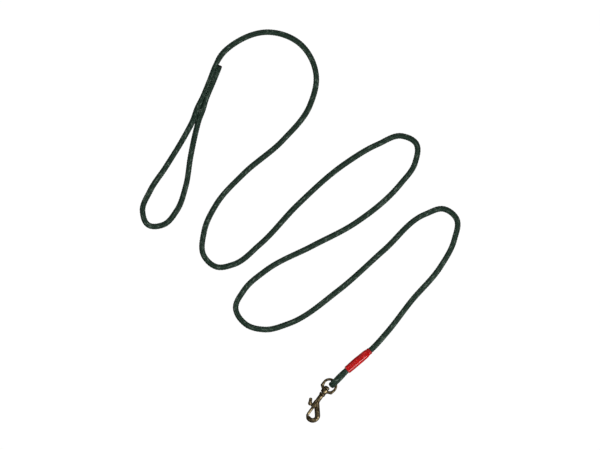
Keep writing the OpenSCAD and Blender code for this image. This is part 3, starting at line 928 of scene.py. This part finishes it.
def metal(name, base, rubbed, stained, wear, grain):
    """Plated metal in three colours, laid out by the wear masks."""
    material, tree, shader = new_material(name)
    masks = add(tree, "ShaderNodeGroup", node_tree=worn_metal)
    masks.inputs["Grain"].default_value = grain
    masks.inputs["Wear"].default_value = wear
    tint = mixed(tree, masks.outputs["Rubbed"], base, rubbed)
    tint = mixed(tree, masks.outputs["Stained"], tint, stained)
    tree.links.new(tint, shader.inputs["Base Color"])
    rough = sums(tree, "MULTIPLY_ADD", masks.outputs["Rubbed"], -0.12, 0.4)
    rough = sums(tree, "MULTIPLY_ADD", masks.outputs["Stained"], 0.2, rough)
    tree.links.new(rough, shader.inputs["Roughness"])
    bump = add(tree, "ShaderNodeBump", {"Height": masks.outputs["Height"], "Distance": 0.00006})
    tree.links.new(bump.outputs[0], shader.inputs["Normal"])
    shader.inputs["Metallic"].default_value = 1
    return material


old_brass = metal(
    "old_brass", colour(78, 67, 47), colour(158, 143, 112), colour(18, 14, 8), wear=0.5, grain=900,
)
dress(snap_casting, old_brass)
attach(snap_casting, "snap")
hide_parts("snap_body")


# Swivel eye: a cast ring for the rope, with two webs and a boss that turns on the snap's post. It
# hangs a little to one side, because the post is loose in it.
eye_y = 0.00855
boss_l = 0.008
boss_r = 0.0048
ring_r = 0.0097
wire_r = 0.0017
ring_seat = 0.003
ring_y = ring_seat + wire_r + ring_r
eye_bore_r = 0.00265
eye_lean = math.radians(7)
web_angle = math.radians(54)
web_r = 0.0021
shoulder_r = 0.0109
web_in, web_y = 0.0022, 0.0045
boss_edge, boss_round, boss_step = 0.0012, 0.0014, 0.0005
eye_voxel = 0.00022
eye_fullness = 0.0001

boss = turned("boss", [
    (0, boss_r - boss_edge), (boss_edge / 2, boss_r - boss_edge / 4), (boss_round, boss_r),
    (boss_l - boss_edge, boss_r), (boss_l - boss_edge / 4, boss_r - boss_step),
    (boss_l, boss_r - boss_edge),
])
bpy.ops.mesh.primitive_torus_add(
    major_radius=ring_r, minor_radius=wire_r * 1.05, major_segments=96, minor_segments=28,
    location=(0, ring_y, 0),
)
ring = bpy.context.object
bpy.ops.object.transform_apply()
webs = []
for hand in (-1, 1):
    foot = Vector((hand * (boss_r - web_in), web_y, 0))
    corner = Vector((
        hand * shoulder_r * math.sin(web_angle), ring_y - shoulder_r * math.cos(web_angle), 0))
    flank = Vector((hand * ring_r, ring_y, 0))
    line = [foot.lerp(corner, k / 4) for k in range(5)]
    line += [corner.lerp(flank, k / 3) for k in (1, 2, 3)]
    webs.append(bar(f"web{hand}", line, [web_r] * 6 + [wire_r * 1.15, wire_r * 0.9]))
    webs.append(knob(corner, web_r))
eye_ring = joined("eye_ring", boss, ring, *webs)
cast(eye_ring, eye_voxel, cast_rounds, eye_fullness)
eye_bore = turned("eye_bore", [(-0.002, eye_bore_r), (boss_l + 0.0005, eye_bore_r)], 48)
cut(eye_ring, eye_bore)
eye_middle = Vector((0, eye_y + boss_l / 2, 0))
lean_about = Matrix.Translation(eye_middle) @ Matrix.Rotation(-eye_lean, 4, "Z")
eye_ring.data.transform(lean_about @ Matrix.Translation((0, -boss_l / 2, 0)))
set_in_snap(eye_ring)
dress(eye_ring, old_brass)
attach(eye_ring, "eye")
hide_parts("swivel_eye")


# Bolt: a turned brass pin with a fine worn line near the barrel's mouth. It closes the hook, and
# slides back into the barrel against the spring.
bolt_r = 0.0022
bolt_front = -0.0305
bolt_inside_l = 0.0096
bolt_rear = -mouth_y + bolt_inside_l
nose_edge, rear_edge = 0.0008, 0.0003
line_y, line_half = -mouth_y - 0.0013, 0.0003
bolt_pin = turned("bolt_pin", [
    (bolt_front, bolt_r * 0.55), (bolt_front + nose_edge / 4, bolt_r * 0.8),
    (bolt_front + nose_edge, bolt_r), (line_y - line_half, bolt_r), (line_y, bolt_r * 0.93),
    (line_y + line_half, bolt_r), (bolt_rear - rear_edge, bolt_r), (bolt_rear, bolt_r - rear_edge),
])
set_in_snap(bolt_pin, 30)
bolt_brass = metal(
    "bolt_brass", colour(88, 75, 52), colour(164, 148, 114), colour(24, 18, 10),
    wear=0.55, grain=1500,
)
dress(bolt_pin, bolt_brass)
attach(bolt_pin, "gate")
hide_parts("bolt")


# Thumb piece: a cast brass stud with ridges across it for the thumb, heavier at its foot. Its short
# shank runs in the barrel's slot and is driven into the bolt.
thumb_r = 0.0025
thumb_l = 0.0062
thumb_angle = math.radians(28)
thumb_x = 0.0067
shank_r = 0.0013
foot_drop = 0.001
foot_share, ridge_depth, ridge_step = 1.15, 0.07, 4.8
foot = Vector((-thumb_x, stud_y - foot_drop, 0))
crown = foot + thumb_l * Vector((-math.sin(thumb_angle), math.cos(thumb_angle), 0))
grip_places = [foot.lerp(crown, k / 24) for k in range(25)]
grip_radii = [
    thumb_r * (foot_share - k / 120 + ridge_depth * math.cos(2 * math.pi * k / ridge_step))
    for k in range(25)
]
grip = bar("grip", grip_places, grip_radii)
shank_places = [Vector((x, stud_y, 0)) for x in (0.001, -0.002, -0.0045, -0.006)]
shank = bar("shank", shank_places, [shank_r, shank_r, shank_r * 1.1, shank_r * 1.5])
thumb_piece = joined("thumb_piece", grip, shank, knob(foot, thumb_r * 1.3), knob(crown, thumb_r))
cast(thumb_piece, voxel=0.00018, rounds=3, fullness=0)
set_in_snap(thumb_piece)
dress(thumb_piece, bolt_brass)
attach(thumb_piece, "gate")
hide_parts("thumb_stud")


# Spring: a coil of drawn steel wire in the barrel, behind the bolt, with one end on the bottom of the
# bore. Nothing fixes it: it is held between the two. The real spring shortens as the bolt slides
# back; this coil is built at one length.
coil_r = 0.0017
coil_wire_r = 0.00025
coil_turns = 8
coil_steps = 24
coil_play = 0.00005
coil_from = bolt_rear + coil_wire_r + coil_play
coil_to = bore_end - coil_wire_r - coil_play
coil_places = []
for k in range(coil_turns * coil_steps + 1):
    share = k / (coil_turns * coil_steps)
    angle = 2 * math.pi * coil_turns * share
    y = coil_from + (coil_to - coil_from) * share
    coil_places.append(Vector((coil_r * math.cos(angle), y, coil_r * math.sin(angle))))
spring_coil = bar("spring_coil", coil_places, [coil_wire_r] * len(coil_places))
set_in_snap(spring_coil)

spring_steel, tree, shader = new_material("spring_steel")
here = add(tree, "ShaderNodeTexCoord").outputs["Object"]
drawn_lines = add(tree, "ShaderNodeTexNoise", {"Vector": here, "Scale": 2500, "Detail": 2}).outputs[0]
tint = mixed(tree, drawn_lines, colour(120, 120, 124), colour(190, 190, 192))
tree.links.new(tint, shader.inputs["Base Color"])
tree.links.new(sums(tree, "MULTIPLY_ADD", drawn_lines, 0.2, 0.25), shader.inputs["Roughness"])
shader.inputs["Metallic"].default_value = 1
dress(spring_coil, spring_steel)
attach(spring_coil, "snap")
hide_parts("bolt_spring")
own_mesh(spring_coil)


# Floor and light: a plain white table top under a sky that is bright overhead. The brighter lamp
# stands low on the right, and the one overhead only lights, without showing in the metal.
floor_size = 6
floor_drop = 0.0002
floor_white, floor_share = 1.07, 0.94
bpy.ops.mesh.primitive_plane_add(size=floor_size, location=(*view_middle, -floor_drop))
floor = bpy.context.object
floor.name = "floor"
floor_material, tree, shader = new_material("white_table")
shader.inputs["Base Color"].default_value = colour(140, 140, 140)
shader.inputs["Roughness"].default_value = 0.9
path = add(tree, "ShaderNodeLightPath")
seen = sums(tree, "MAXIMUM", path.outputs["Is Camera Ray"], path.outputs["Is Transmission Ray"])
white = add(tree, "ShaderNodeEmission", {"Color": (1, 1, 1, 1), "Strength": floor_white})
share = sums(tree, "MULTIPLY", seen, floor_share)
both = add(tree, "ShaderNodeMixShader", {0: share, 1: shader.outputs[0], 2: white.outputs[0]})
tree.links.new(both.outputs[0], tree.nodes["Material Output"].inputs[0])
dress(floor, floor_material)

overhead, horizon = 0.55, 0.05
world = bpy.data.worlds.new("studio")
bpy.context.scene.world = world
world.use_nodes = True
tree = world.node_tree
backdrop = tree.nodes["Background"]
path = add(tree, "ShaderNodeLightPath")
sky = add(tree, "ShaderNodeSeparateXYZ", {0: add(tree, "ShaderNodeTexCoord").outputs["Generated"]})
above = sums(tree, "POWER", sums(tree, "MAXIMUM", sky.outputs[2], 0), 2)
glow = sums(tree, "MULTIPLY_ADD", above, overhead, horizon)
level = sums(tree, "MAXIMUM", path.outputs["Is Camera Ray"], glow)
tree.links.new(level, backdrop.inputs["Strength"])
backdrop.inputs["Color"].default_value = (1, 1, 1, 1)


def lamp(name, place, size, power):
    """A soft lamp that faces the middle of the view."""
    bpy.ops.object.light_add(type="AREA", location=place)
    light = bpy.context.object
    light.name = name
    light.data.shape = "RECTANGLE"
    light.data.size, light.data.size_y = size
    light.data.energy = power
    aim = Vector((*view_middle, 0)) - Vector(place)
    light.rotation_euler = aim.to_track_quat("-Z", "Y").to_euler()


lamp("right_lamp", (0.95, -0.1, 0.8), (0.6, 0.6), 13)
lamp("left_lamp", (-1.0, 0.75, 1.0), (1.0, 1.0), 4)
lamp("top_lamp", (*view_middle, 1.6), (0.5, 0.5), 7)
bpy.data.objects["top_lamp"].visible_glossy = False
